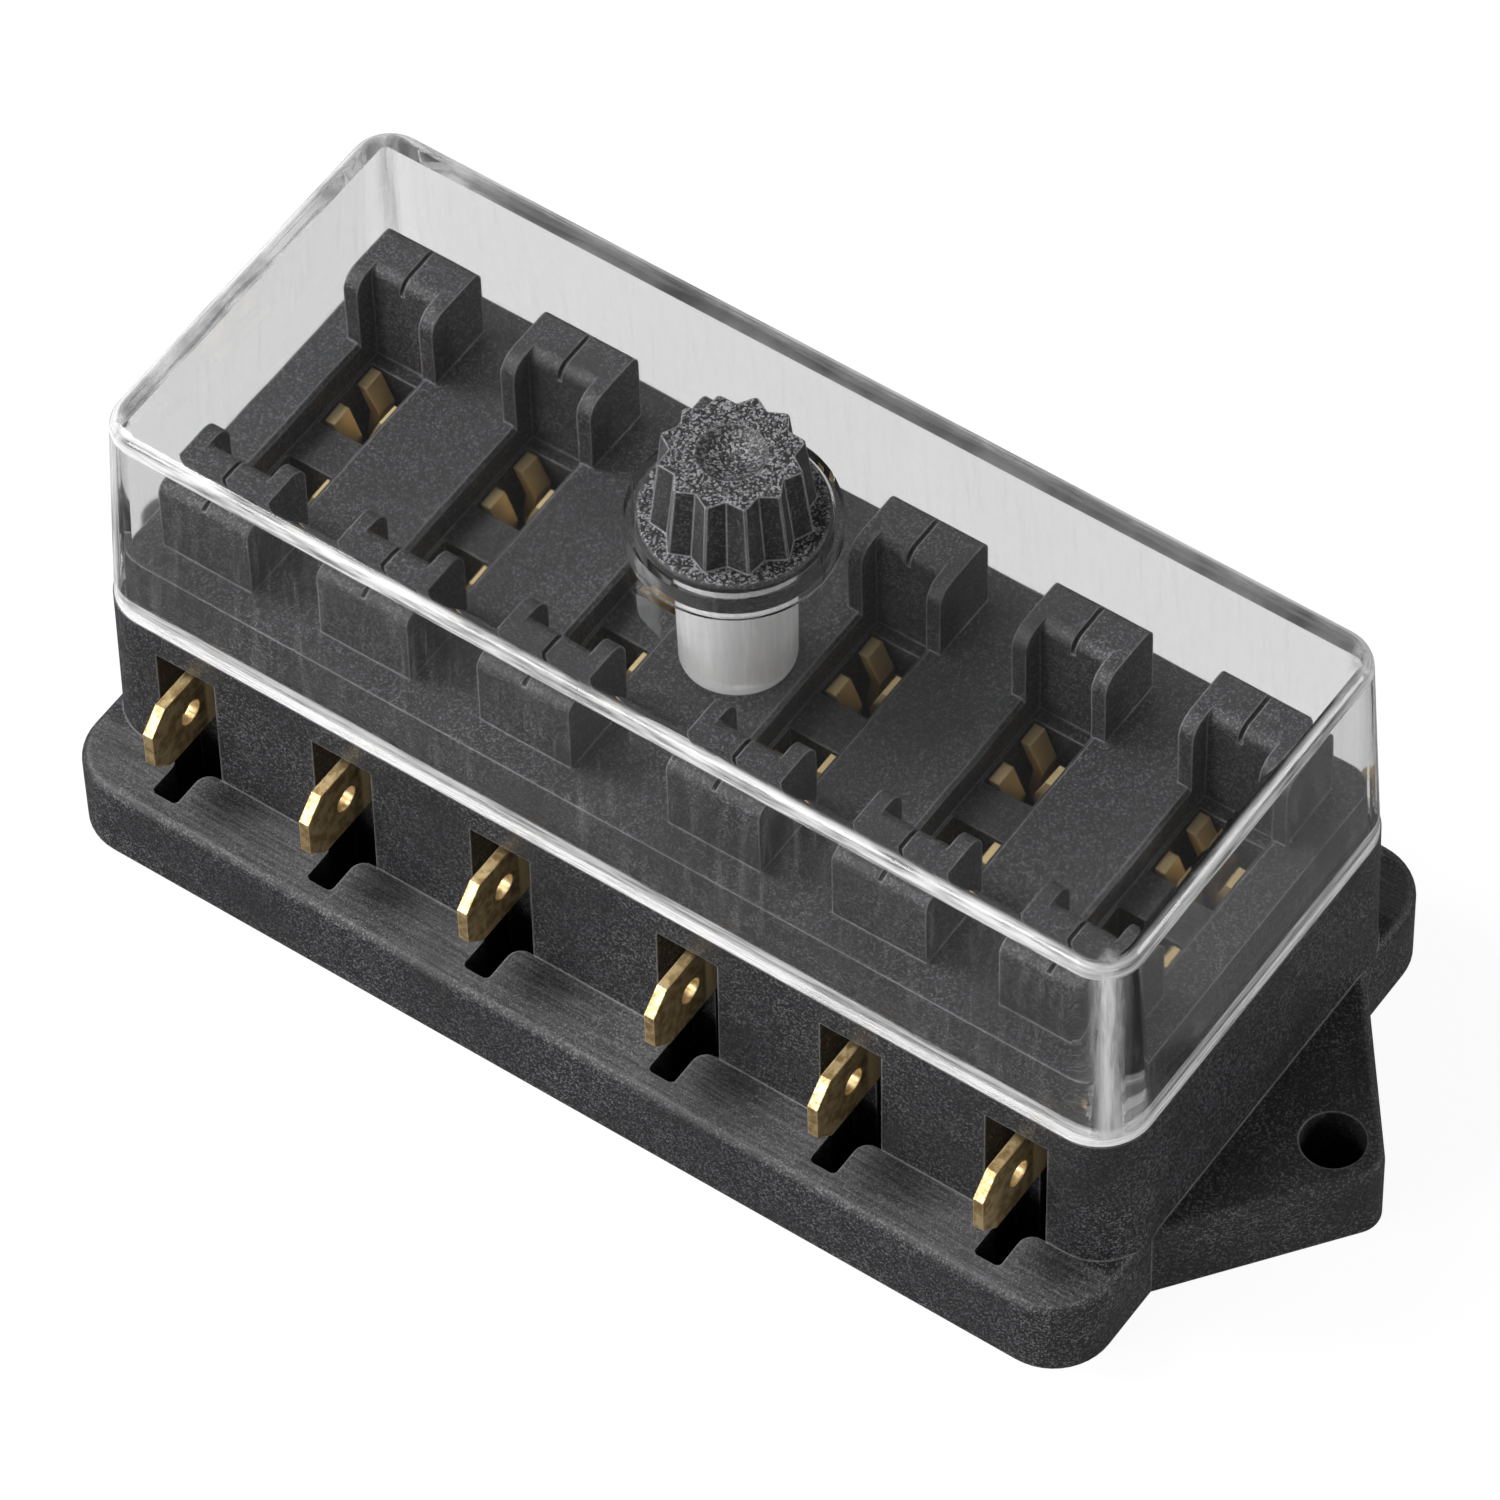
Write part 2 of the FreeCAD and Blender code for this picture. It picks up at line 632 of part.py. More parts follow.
def cover_shell(doc):
    """Clear lid: leaning walls, top plate, ring round the knob and the hollow post."""
    body = doc.addObject("PartDesign::Body", "cover_shell")
    plan = rounded_plan(body, "cover_plan", "cover_low", "joint_half_x", "joint_half_y",
                        "body_corner")
    pad(plan, "cover_top - cover_low", lean="cover_angle")
    top = size("cover_top")
    fillet(body, "cover_edge_round", "cover_round", lambda edge: lies_at(edge, z=top))
    hollow = rounded_plan(body, "hollow_plan", "cover_low", "inner_half_x", "inner_half_y",
                          "hollow_corner")
    pocket(hollow, "roof_under - cover_low", upwards=True, lean="cover_angle")
    turned = new_sketch(body, "post_side", "XZ_Plane")
    polygon(turned, [
        ("screw_bore", "post_end"),
        ("(post_top - post_taper) / 2", "post_end"),
        ("post_top / 2", "roof_under"),
        ("post_top / 2", "cover_top"),
        ("screw_bore", "cover_top"),
    ])
    rectangle(turned, "collar_in", "collar_out", "cover_top - cover_roof / 2",
              "cover_top + collar_height")
    revolve(turned)
    bore = new_sketch(body, "post_bore", "XY_Plane", "post_end")
    circle(bore, "screw_bore")
    pocket(bore, "cover_top - post_end", upwards=True)
    return body


# Knob, screw and insert


def flute(body, name, level, points):
    """The section of a flute at a level: a wide V from one point of the grip to the next."""
    sketch = new_sketch(body, name, "XY_Plane", level)
    bottom = f"({points} / 2 - flute_depth)"
    rim = f"{bottom} + {PAST_RIM} * ({points} / 2 * cos(180 / flutes) - {bottom})"
    half = f"{PAST_RIM} * ({points} / 2 * sin(180 / flutes) - flute_land / 2)"
    polygon(sketch, [(bottom, "0"), (rim, half), (rim, f"-({half})")])
    return sketch


def cover_knob(doc):
    """Knob with a round foot and a fluted, tapering grip, hollow on top."""
    body = doc.addObject("PartDesign::Body", "cover_knob")
    side = new_sketch(body, "knob_side", "XZ_Plane")
    polygon(side, [
        ("screw_width / 2", "knob_low"),
        ("knob_foot / 2", "knob_low"),
        ("knob_foot / 2", "grip_low"),
        ("grip_foot / 2", "grip_low"),
        ("grip_top / 2", "knob_high"),
        ("0", "knob_high"),
        ("0", "screw_top"),
        ("screw_width / 2", "screw_top"),
    ])
    revolve(side)
    foot, step, top = size("knob_foot / 2"), size("grip_low"), size("knob_high")
    fillet(body, "foot_edge_round", "knob_round",
           lambda edge: lies_at(edge, z=step) and abs(edge.BoundBox.XMax - foot) < 1e-4)
    fillet(body, "grip_edge_round", "grip_round", lambda edge: lies_at(edge, z=top))
    dish = new_sketch(body, "dish_side", "XZ_Plane")
    ball = "((dish_width / 2) ^ 2 + dish_depth ^ 2) / (2 * dish_depth)"
    dish_arc(dish, ball)
    revolve(dish, "Groove")
    low = flute(body, "flute_low", "grip_low", "grip_foot")
    high = flute(body, "flute_high", "knob_high", "grip_top")
    cut = loft(body, "Subtractive", "flute", low, high)
    round_grip = body.newObject("PartDesign::PolarPattern", "flutes_round")
    round_grip.Originals = [cut]
    round_grip.Axis = (origin_part(body, "Z_Axis"), [""])
    round_grip.Angle = 360
    round_grip.setExpression("Occurrences", cells("flutes"))
    body.Tip = round_grip
    doc.recompute()
    return body


def dish_arc(sketch, ball):
    """Half the section of a ball that dips into the knob's top."""
    radius, top, depth = size(ball), size("knob_high"), size("dish_depth")
    centre = top - depth + radius
    low, high = Vector(0, top - depth, 0), Vector(0, centre + radius, 0)
    middle = Vector(radius, centre, 0)
    arc = sketch.addGeometry(Part.Arc(low, middle, high))
    line = sketch.addGeometry(Part.LineSegment(high, low))
    sketch.addConstraint(Sketcher.Constraint("Coincident", arc, 2, line, 1))
    sketch.addConstraint(Sketcher.Constraint("Coincident", line, 2, arc, 1))
    sketch.addConstraint(Sketcher.Constraint("Vertical", line))
    bind(sketch, "DistanceX", -1, 1, arc, 3, expression="0")
    bind(sketch, "DistanceY", -1, 1, arc, 3, expression=f"knob_high - dish_depth + {ball}")
    bind(sketch, "Radius", arc, expression=ball)
    bind(sketch, "DistanceX", -1, 1, line, 1, expression="0")


def knob_screw(doc):
    """Plain screw blank, moulded into the knob, with a bevelled end."""
    body = doc.addObject("PartDesign::Body", "knob_screw")
    side = new_sketch(body, "screw_side", "XZ_Plane")
    polygon(side, [
        ("0", "screw_low"),
        ("screw_width / 2 - screw_point", "screw_low"),
        ("screw_width / 2", "screw_low + screw_point"),
        ("screw_width / 2", "screw_top"),
        ("0", "screw_top"),
    ])
    revolve(side)
    return body


def insert_profile(sketch, bore):
    """Side of the insert from its bore outwards, with one anchoring groove."""
    groove = "(insert_width / 2 - insert_groove)"
    polygon(sketch, [
        (bore, "insert_low"),
        ("insert_width / 2", "insert_low"),
        ("insert_width / 2", "insert_low + insert_length / 3"),
        (groove, "insert_low + insert_length / 3 + insert_groove"),
        (groove, "insert_low + insert_length / 2"),
        ("insert_width / 2", "insert_low + insert_length / 2 + insert_groove"),
        ("insert_width / 2", "deck_height"),
        (bore, "deck_height"),
    ])


def threaded_insert(doc):
    """Turned bush in the deck that the screw enters."""
    body = doc.addObject("PartDesign::Body", "threaded_insert")
    side = new_sketch(body, "insert_side", "XZ_Plane")
    insert_profile(side, "screw_bore")
    revolve(side)
    return body


def check(doc, parts):
    """Stop if any object failed or any part is not one sound solid."""
    for item in doc.Objects:
        if {"Invalid", "Error"} & set(item.State):
            raise RuntimeError(f"{item.Name} failed: {item.State}")
    for part in parts:
        if part.Shape.isNull() or not part.Shape.isValid() or len(part.Shape.Solids) != 1:
            raise RuntimeError(f"{part.Label} is not one sound solid")


DOC = FreeCAD.newDocument("fuse_box")
SHEET = fill_sheet(DOC)
PARTS = [base_moulding(DOC), *terminals(DOC), threaded_insert(DOC), cover_shell(DOC),
         cover_knob(DOC), knob_screw(DOC)]
DOC.recompute()
check(DOC, PARTS)
os.makedirs("parts", exist_ok=True)
for part in PARTS:
    part.Shape.exportStep(f"parts/{part.Label}.step")
    box = part.Shape.BoundBox
    print(f"{part.Label}: {part.Shape.Volume:.1f} mm3, {box.XLength:.2f} x {box.YLength:.2f} x "
          f"{box.ZLength:.2f} mm, z from {box.ZMin:.2f}")
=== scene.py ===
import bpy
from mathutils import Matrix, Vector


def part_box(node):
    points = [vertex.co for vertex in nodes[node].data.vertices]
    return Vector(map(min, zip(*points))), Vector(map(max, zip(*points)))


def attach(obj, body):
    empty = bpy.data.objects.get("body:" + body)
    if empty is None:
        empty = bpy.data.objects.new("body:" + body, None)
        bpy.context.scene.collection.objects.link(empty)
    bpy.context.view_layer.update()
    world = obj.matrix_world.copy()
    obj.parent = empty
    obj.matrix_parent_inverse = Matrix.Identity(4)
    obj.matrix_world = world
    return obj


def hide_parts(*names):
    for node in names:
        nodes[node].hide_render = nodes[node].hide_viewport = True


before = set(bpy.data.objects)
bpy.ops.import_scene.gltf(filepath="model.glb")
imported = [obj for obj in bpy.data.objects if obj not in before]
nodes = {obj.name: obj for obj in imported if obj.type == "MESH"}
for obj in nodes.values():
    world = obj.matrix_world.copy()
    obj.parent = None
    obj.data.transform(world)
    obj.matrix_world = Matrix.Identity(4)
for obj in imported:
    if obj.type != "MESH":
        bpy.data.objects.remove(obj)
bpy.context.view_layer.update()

# %% [markdown]
# # A clear-topped fuse box
#
# The real object is a black moulded base with twelve stamped brass terminals, under a clear
# cover that one knob holds down. The solid shapes come ready made in the frame, in metres,
# with X along the rows, Y to the back and Z up. This lesson gives them their finishes, adds
# the threads, and sets up the floor, the lights and the camera.

MM = 0.001
terminal_names = sorted(name for name in nodes if name.startswith("terminal"))
bpy.ops.object.select_all(action="DESELECT")

# %% [markdown]
# ## The camera
#
# The photograph is taken from the front right, looking down at about 53 degrees, with a long
# lens, so lines that run away hardly meet. The camera's place was worked out from the edges
# of the base, whose sizes are known. A long lens far away can't be guessed by eye, so the
# place and the two directions are written as measured.

# %% Camera
CAMERA_AT = Vector((0.232055, -0.314454, 0.536902))
CAMERA_RIGHT = Vector((0.82094, 0.57066, -0.02010))
CAMERA_DOWN = Vector((0.44727, -0.66452, -0.59864))
CAMERA_LENS = 230.17  # millimetres
CAMERA_SENSOR = 36.0  # millimetres
CAMERA_NEAREST = 0.01  # metres

camera_data = bpy.data.cameras.new("camera")
camera_data.lens = CAMERA_LENS
camera_data.sensor_width = CAMERA_SENSOR
camera_data.clip_start = CAMERA_NEAREST
camera = bpy.data.objects.new("camera", camera_data)
bpy.context.scene.collection.objects.link(camera)
right = CAMERA_RIGHT.normalized()
up = (-CAMERA_DOWN).normalized()
back = right.cross(up).normalized()
turn = Matrix((right, up, back)).transposed().to_4x4()
camera.matrix_world = Matrix.Translation(CAMERA_AT) @ turn
bpy.context.scene.camera = camera
print("camera", round(CAMERA_AT.length, 3), "m from the origin")

# %% [markdown]
# ## Colours and nodes
#
# A colour picked from a screen is stored in sRGB, and the renderer works in linear light, so
# one function turns a hex value into linear numbers. One more function adds a shader node
# with its settings and inputs, and every material below is written with it.
#
# Two kinds of node come up all the time. A Map Range node turns a value into a mask. Its
# inputs are the value, where the mask starts, where it is full, and the mask's own two ends,
# which are 0 and 1 if they aren't given. A Math node does one step of arithmetic, such as
# multiplying two masks, which leaves what both of them cover.

# %% Helpers for colours and nodes
SMOOTH = {"interpolation_type": "SMOOTHSTEP"}  # a Map Range that eases in and out
MIX_FIRST = 6  # a Mix node's colours, by number: its inputs for other values share their names
MIX_SECOND = 7
MIX_RESULT = 2


def linear(hex_colour):
    """A linear RGBA colour from an sRGB hex value."""
    channels = [int(hex_colour[i:i + 2], 16) / 255 for i in (1, 3, 5)]
    curve = [c / 12.92 if c <= 0.04045 else ((c + 0.055) / 1.055) ** 2.4 for c in channels]
    return (*curve, 1.0)


def add_node(tree, kind, inputs=(), **settings):
    """Add one node. Each input is a number, a hex colour, a socket, or a node's first output."""
    made = tree.nodes.new("ShaderNode" + kind)
    for name, value in settings.items():
        setattr(made, name, value)
    by_place = inputs if isinstance(inputs, dict) else dict(enumerate(inputs))
    for place, value in by_place.items():
        if isinstance(value, bpy.types.Node):
            value = value.outputs[0]
        if isinstance(value, str):
            value = linear(value)
        if isinstance(value, bpy.types.NodeSocket):
            tree.links.new(value, made.inputs[place])
        else:
            made.inputs[place].default_value = value
    return made


def new_material(name):
    """A material with an empty node tree."""
    material = bpy.data.materials.new(name)
    material.use_nodes = True
    material.node_tree.nodes.clear()
    return material, material.node_tree


def dress(obj, material):
    """Give a piece one material all over."""
    obj.data.materials.clear()
    obj.data.materials.append(material)


# %% [markdown]
# ## Where on a piece
#
# Three small groups of nodes are used by more than one material. The first gives the point
# on the piece in millimetres, so that patterns have real sizes. The second finds the edges: a
# Bevel node rounds the normal there, and the further it leans away from the flat face's
# normal, the nearer the edge is. The third tells faces that look up from the others.

# %% Helpers for places on a piece
BEVEL_SAMPLES = 4
FACE_MATCH = 0.997  # how well the two normals agree where the edge begins to show
EDGE_MATCH = 0.91  # and where it shows in full
LEANING = 0.8  # upward share of the normal at which a face begins to count as level
LEVEL = 0.97  # and at which it counts in full


def place_mm(tree):
    """The point on the piece, in millimetres."""
    point = add_node(tree, "TexCoord").outputs["Object"]
    return add_node(tree, "VectorMath", {0: point, "Scale": 1 / MM}, operation="SCALE")


def rounded_edges(tree, width_mm):
    """The rounded normal, and a mask that is one along sharp edges."""
    rounded = add_node(tree, "Bevel", {"Radius": width_mm * MM}, samples=BEVEL_SAMPLES)
    flat = add_node(tree, "NewGeometry").outputs["Normal"]
    match = add_node(tree, "VectorMath", (rounded, flat), operation="DOT_PRODUCT")
    edge = add_node(tree, "MapRange", (match.outputs["Value"], FACE_MATCH, EDGE_MATCH), **SMOOTH)
    return rounded, edge


def facing_up(tree):
    """One on faces that look up, nothing on the others."""
    flat = add_node(tree, "NewGeometry").outputs["Normal"]
    upward = add_node(tree, "SeparateXYZ", (flat,)).outputs["Z"]
    return add_node(tree, "MapRange", (upward, LEANING, LEVEL), **SMOOTH)


# %% [markdown]
# ## Black moulded nylon
#
# The base and the knob are moulded in black nylon, in a tool whose faces were spark eroded.
# That leaves a grain of small pale specks, which the lamps pick out. A noise that is cut off
# at a level could draw them, but its spots join into worms. The palest cells of a Voronoi
# pattern stay apart, so the specks are made of those, and a large soft noise thins them out
# in places. The edges are painted pale: partly wear from handling, partly a painted highlight.

# %% Nylon with specks, and pale edges of wear and painted highlight
CLOUD_MM = 7.0  # across a patch in which the specks are thicker or thinner
GRAIN_HEIGHT = 0.05  # millimetres
GRAIN_SHEEN = 0.08  # how far the grain takes the roughness up and down
EDGE_LINE_MM = 0.22  # width of the pale edges: wear and painted highlight
PLASTIC_IOR = 1.5


def moulded_nylon(name, base, speck, pale_marks_and_highlight, grain_mm, roughness, extra):
    """Dark nylon with pale specks, and pale edges of wear and painted highlight. extra adds what
    is special to a piece.
    """
    material, tree = new_material(name)
    spot = place_mm(tree)
    grain = add_node(tree, "TexNoise", {"Vector": spot, "Scale": 1 / grain_mm, "Roughness": 0.6})
    cloud = add_node(tree, "TexNoise", {"Vector": spot, "Scale": 1 / CLOUD_MM, "Detail": 4.0,
                                        "Roughness": 0.6})
    cells = add_node(tree, "TexVoronoi", {"Vector": spot, "Scale": 1 / grain_mm})
    pale = cells.outputs["Color"]
    rounded, edge = rounded_edges(tree, EDGE_LINE_MM)

    palest = add_node(tree, "MapRange", (pale, 0.5, 0.95), **SMOOTH)
    thick = add_node(tree, "MapRange", (cloud, 0.1, 0.75), **SMOOTH)
    specks = add_node(tree, "Math", (palest, thick), operation="MULTIPLY")
    # Pale edges: partly wear, partly painted highlight, thinned out in places by the cloud.
    worn = add_node(tree, "MapRange", (cloud, 0.2, 0.6, 0.25, 0.9), **SMOOTH)
    edge_wear_and_highlight = add_node(tree, "Math", (edge, worn), operation="MULTIPLY")
    colour = base
    for share, shade in ((specks, speck), (extra(tree, spot, pale), pale_marks_and_highlight), (edge_wear_and_highlight, pale_marks_and_highlight)):
        mixed = add_node(tree, "Mix", {0: share, MIX_FIRST: colour, MIX_SECOND: shade},
                         data_type="RGBA")
        colour = mixed.outputs[MIX_RESULT]

    bump = add_node(tree, "Bump", {"Height": grain, "Normal": rounded, "Strength": 1.0,
                                   "Distance": GRAIN_HEIGHT * MM})
    rough = add_node(tree, "MapRange", (grain, 0.3, 0.7, roughness + GRAIN_SHEEN,
                                        roughness - GRAIN_SHEEN), **SMOOTH)
    shader = add_node(tree, "BsdfPrincipled", {"Base Color": colour, "Roughness": rough,
                                               "Normal": bump, "IOR": PLASTIC_IOR})
    add_node(tree, "OutputMaterial", {"Surface": shader})
    return material


# %% [markdown]
# The tool for the flange was ground along its length, so the flange's top shows fine
# streaks: a noise that is stretched along X. It could be painted on, but the flange is easy
# to tell by its place and by looking up. As they only lighten faces that look up, the pale
# streaks are partly a painted sheen on the flange's top. The knob's top has the strongest
# grain of all.

# %% Streaks and painted sheen on the flange, and grain on the knob
FLANGE_FROM = 17.2  # millimetres from the middle, in front and behind, where the walls stand
FLANGE_TOP = 9.0  # millimetres up, above which nothing belongs to the flange
STREAK_MM = 0.2
STREAK_STRETCH = (0.05, 1.0, 1.0)  # twenty times longer along X


def flange_streaks_and_sheen(tree, spot, pale):
    """Streaks along the flange's top, in front of and behind the walls: real streaks and a
    painted sheen.
    """
    axes = add_node(tree, "SeparateXYZ", (spot,))
    aside = add_node(tree, "Math", (axes.outputs["Y"],), operation="ABSOLUTE")
    beside = add_node(tree, "MapRange", (aside, FLANGE_FROM, FLANGE_FROM + 0.6), **SMOOTH)
    low = add_node(tree, "MapRange", (axes.outputs["Z"], FLANGE_TOP, FLANGE_TOP - 1.0), **SMOOTH)
    where = add_node(tree, "Math", (beside, low), operation="MULTIPLY")
    where = add_node(tree, "Math", (where, facing_up(tree)), operation="MULTIPLY")
    drawn = add_node(tree, "Mapping", {"Vector": spot, "Scale": STREAK_STRETCH})
    streaks = add_node(tree, "TexNoise", {"Vector": drawn, "Scale": 1 / STREAK_MM,
                                          "Roughness": 0.7})
    # Paler where the faces look up: the streaks, and a painted sheen on the flange's top.
    shown = add_node(tree, "MapRange", (streaks, 0.3, 0.75, 0.05, 0.27), **SMOOTH)
    return add_node(tree, "Math", (where, shown), operation="MULTIPLY")


def coarse_top(tree, spot, pale):
    """Strong pale grain on the knob's top and in its hollow."""
    shown = add_node(tree, "MapRange", (pale, 0.4, 0.9, 0.0, 0.8), **SMOOTH)
    return add_node(tree, "Math", (facing_up(tree), shown), operation="MULTIPLY")


# %% Nylon on the base and the knob
housing_nylon = moulded_nylon("black_nylon_eroded", "#28282A", "#767678", "#9C9C9E",
                              0.12, 0.46, flange_streaks_and_sheen)
knob_nylon = moulded_nylon("black_nylon_coarse", "#262627", "#5A5A5C", "#ACACAE",
                           0.14, 0.42, coarse_top)
dress(nodes["base_moulding"], housing_nylon)
dress(nodes["cover_knob"], knob_nylon)
print("nylon on the base and the knob")

# %% [markdown]
# ## Clear cover
#
# The cover is moulded in clear polystyrene with a trace of grey. A purely refractive shader
# would keep the lamps from lighting the inside, so shadow and diffuse rays pass straight
# through, tinted by nearly the same grey. The outer edges, the lower rim and the post under
# the knob are partly rubbed, and partly a painted glow that stands in for the light the clear
# walls carry there. In those places the shader is mixed with a milky white one.
#
# Where those places are follows from the cover's own box. The first cell measures how far a
# point is from the roof, the walls and the lower rim, all in millimetres.

# %% Distances on the cover
COVER_LEAN = 1.0  # millimetres that each wall leans in up to the top
COLLAR_HEIGHT = 2.2  # millimetres of the ring above the top plate
cover_low, cover_high = [corner / MM for corner in map(Vector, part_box("cover_shell"))]
roof = cover_high.z - COLLAR_HEIGHT
slope = COVER_LEAN / (roof - cover_low.z)

cover_clear, tree = new_material("clear_polystyrene")
spot = place_mm(tree)
axes = add_node(tree, "SeparateXYZ", (spot,))
height = add_node(tree, "Math", (axes.outputs["Z"], cover_low.z), operation="SUBTRACT")
inset = add_node(tree, "Math", (height, slope), operation="MULTIPLY")
from_walls = []
for half_size, axis in ((cover_high.x, "X"), (cover_high.y, "Y")):
    outward = add_node(tree, "Math", (axes.outputs[axis],), operation="ABSOLUTE")
    inward = add_node(tree, "Math", (half_size, outward), operation="SUBTRACT")
    from_walls.append(add_node(tree, "Math", (inward, inset), operation="SUBTRACT"))
from_wall = add_node(tree, "Math", from_walls, operation="MINIMUM")
from_corner = add_node(tree, "Math", from_walls, operation="MAXIMUM")
from_roof = add_node(tree, "Math", (roof, axes.outputs["Z"]), operation="SUBTRACT")
across = add_node(tree, "CombineXYZ", {"X": axes.outputs["X"], "Y": axes.outputs["Y"]})
from_axis = add_node(tree, "VectorMath", (across,), operation="LENGTH").outputs["Value"]
flat = add_node(tree, "NewGeometry").outputs["Normal"]
facing = add_node(tree, "SeparateXYZ", (flat,)).outputs
upward = facing["Z"]
sideways = add_node(tree, "Math", (facing["Y"],), operation="ABSOLUTE")
steep = add_node(tree, "Math", (upward,), operation="ABSOLUTE")
print("top plate at", round(roof, 2), "mm")

# %% [markdown]
# The next cells turn the distances into masks for the milky places. Such places could be
# painted by hand, but masks from distances are even and stay right when the cover's size
# changes. Stretched noises break them up: scratches that run along the edges, and streaks
# that run down the walls and the post.

# %% Scratches and streaks
SCRATCH_MM = 0.4
SCRATCH_STRETCH = (0.06, 0.06, 1.0)
RUN_MM = 0.7
RUN_STRETCH = (1.0, 1.0, 0.07)

drawn = add_node(tree, "Mapping", {"Vector": spot, "Scale": RUN_STRETCH})
streaks = add_node(tree, "TexNoise", {"Vector": drawn, "Scale": 1 / RUN_MM, "Detail": 3.0,
                                      "Roughness": 0.6})
drawn = add_node(tree, "Mapping", {"Vector": spot, "Scale": SCRATCH_STRETCH})
scratches = add_node(tree, "TexNoise", {"Vector": drawn, "Scale": 1 / SCRATCH_MM,
                                        "Detail": 3.0, "Roughness": 0.65})
print("scratches", SCRATCH_MM, "mm across, streaks", RUN_MM, "mm across")

# %% Milky edges and corners, partly painted glow
EDGE_REACH = 1.35  # millimetres from roof and wall where the upper edge's milky band ends
RIM_REACH = 1.25  # millimetres up from the lower rim
CORNER_REACH = 2.4  # millimetres to both sides of an upright corner

# The upper edges and the lower rim: a milky band of painted glow, broken up by scratches.
from_edge = add_node(tree, "Math", (from_roof, from_wall), operation="MAXIMUM")
upper_edge_glow = add_node(tree, "MapRange", (from_edge, EDGE_REACH, EDGE_REACH - 0.25), **SMOOTH)
not_level = add_node(tree, "MapRange", (upward, 0.97, 0.8), **SMOOTH)
upper_edge_glow = add_node(tree, "Math", (upper_edge_glow, not_level), operation="MULTIPLY")
rim = add_node(tree, "MapRange", (height, RIM_REACH, RIM_REACH - 0.35), **SMOOTH)
edges = add_node(tree, "Math", (upper_edge_glow, rim), operation="MAXIMUM")
scratched = add_node(tree, "MapRange", (scratches, 0.3, 0.65, 0.2, 0.85), **SMOOTH)
edges = add_node(tree, "Math", (edges, scratched), operation="MULTIPLY")

# The upright corners: painted glow as well, broken by streaks, stronger on faces that look to
# the front or the back.
corners = add_node(tree, "MapRange", (from_corner, CORNER_REACH, CORNER_REACH / 2), **SMOOTH)
streaked = add_node(tree, "MapRange", (streaks, 0.3, 0.65, 0.2, 0.6), **SMOOTH)
corners = add_node(tree, "Math", (corners, streaked), operation="MULTIPLY")
front_stronger = add_node(tree, "MapRange", (sideways, 0.45, 0.85, 0.75, 1.4), **SMOOTH)
corners = add_node(tree, "Math", (corners, front_stronger), operation="MULTIPLY")
print("milky bands", EDGE_REACH, "mm wide above,", RIM_REACH, "mm wide below")

# %% Post, milky with a painted glow, and the film on the walls
POST_RADIUS = 5.0  # millimetres, a little more than the post's
POST_TOP = 1.7  # millimetres under the roof's outside
POST_GAP = 0.4  # millimetres from the deck, where the insert ends, to the post
post_end_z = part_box("threaded_insert")[1][2] / MM + POST_GAP

# The post is milky and painted brighter towards its lower end: painted glow and frost.
near_axis = add_node(tree, "MapRange", (from_axis, POST_RADIUS, POST_RADIUS - 0.4), **SMOOTH)
under_roof = add_node(tree, "MapRange", (from_roof, POST_TOP, POST_TOP + 0.5), **SMOOTH)
post = add_node(tree, "Math", (near_axis, under_roof), operation="MULTIPLY")
post_end = add_node(tree, "MapRange", (axes.outputs["Z"], post_end_z + 0.7, post_end_z + 0.3,
                                       0.0, 0.5), **SMOOTH)
post_frost_and_glow = add_node(tree, "MapRange", (streaks, 0.35, 0.7, 0.72, 1.0), **SMOOTH)
post_frost_and_glow = add_node(tree, "Math", (post_frost_and_glow, post_end), operation="ADD")
post_frost_and_glow = add_node(tree, "Math", (post_frost_and_glow, 1.0), operation="MINIMUM")
post = add_node(tree, "Math", (post, post_frost_and_glow), operation="MULTIPLY")

upright = add_node(tree, "MapRange", (steep, 0.5, 0.2), **SMOOTH)
film = add_node(tree, "MapRange", (streaks, 0.5, 0.85, 0.0, 0.07), **SMOOTH)
film = add_node(tree, "Math", (film, upright), operation="MULTIPLY")

# All milky places together: rubbing, film and painted glow.
frost_and_painted_glow = edges
for mask in (corners, post, film):
    frost_and_painted_glow = add_node(tree, "Math", (frost_and_painted_glow, mask), operation="MAXIMUM")
print("post frosted down to", round(post_end_z, 2), "mm")

# %% [markdown]
# Three shaders are mixed with those masks: a clear one, a milky one, and one that lets the
# lamps' light through. A slow ripple keeps the moulded faces from looking like cut glass.

# %% Clear polystyrene
RIPPLE_MM = 20.0
RIPPLE_HEIGHT = 0.5  # millimetres
flow = add_node(tree, "TexNoise", {"Vector": spot, "Scale": 1 / RIPPLE_MM})
ripple = add_node(tree, "Bump", {"Height": flow, "Strength": 0.35,
                                 "Distance": RIPPLE_HEIGHT * MM})
gloss = add_node(tree, "MapRange", (flow, 0.3, 0.7, 0.02, 0.05), **SMOOTH)
glassy = add_node(tree, "BsdfPrincipled", {"Base Color": "#F4F4F4", "Roughness": gloss,
                                           "Normal": ripple, "IOR": PLASTIC_IOR,
                                           "Transmission Weight": 1.0})
# The milky shader gives both the rubbed places and the painted glow.
milky = add_node(tree, "BsdfPrincipled", {"Base Color": "#FCFCFC", "Roughness": 0.3,
                                          "Normal": ripple, "IOR": PLASTIC_IOR,
                                          "Transmission Weight": 0.12})
through = add_node(tree, "BsdfTransparent", {"Color": "#F8F8F8"})
ray = add_node(tree, "LightPath").outputs
lets_by = add_node(tree, "Math", (ray["Is Shadow Ray"], ray["Is Diffuse Ray"]),
                   operation="MAXIMUM")
blend = add_node(tree, "MixShader", (frost_and_painted_glow, glassy, milky))
blend = add_node(tree, "MixShader", (lets_by, blend, through))
add_node(tree, "OutputMaterial", {"Surface": blend})
dress(nodes["cover_shell"], cover_clear)
print("clear polystyrene on the cover")

